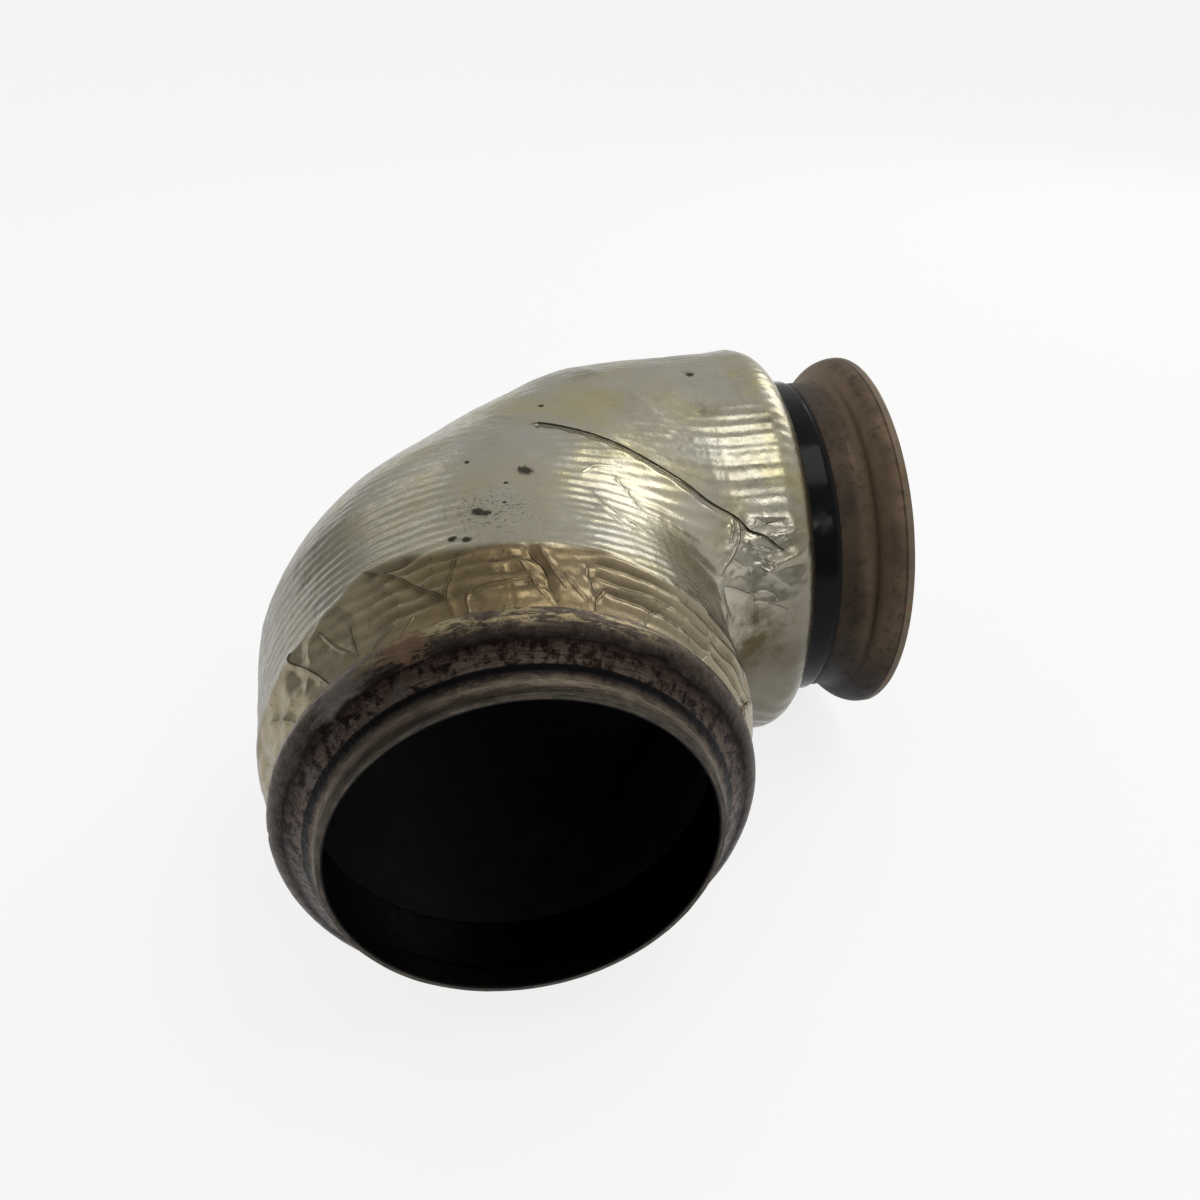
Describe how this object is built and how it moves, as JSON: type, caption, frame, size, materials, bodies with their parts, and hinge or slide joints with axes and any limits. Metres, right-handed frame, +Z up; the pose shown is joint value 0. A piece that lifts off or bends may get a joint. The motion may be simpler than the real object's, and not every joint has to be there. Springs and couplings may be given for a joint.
{
  "type": "insulated exhaust elbow",
  "caption": "Quarter-bend exhaust pipe with clamp flanges on both ends, wrapped in ribbed metal foil over a fibre blanket.",
  "frame": {"origin": "centre of the inlet's mouth, at the end of its lip", "axes": "-Y points out of the inlet along its axis, +X points the way the outlet faces, +Z is up and square to both ends' axes"},
  "size_m": [0.2328, 0.2408, 0.1583],
  "materials": {
    "tube_steel": "sooty, dull",
    "inlet_steel": "turned, heat-tinted brown, scuffed",
    "outlet_steel": "heat-tinted brown, satin",
    "fibre": "matt felt",
    "foil": "embossed, creased, bright with a pale gold tint",
    "band_black": "gloss black"
  },
  "bodies": {
    "root": {"elbow_pipe": "tube_steel", "inlet_flange": "inlet_steel", "outlet_flange": "outlet_steel", "insulation_mat": "fibre", "foil_jacket": "foil", "retaining_band": "band_black"}
  },
  "joints": []
}
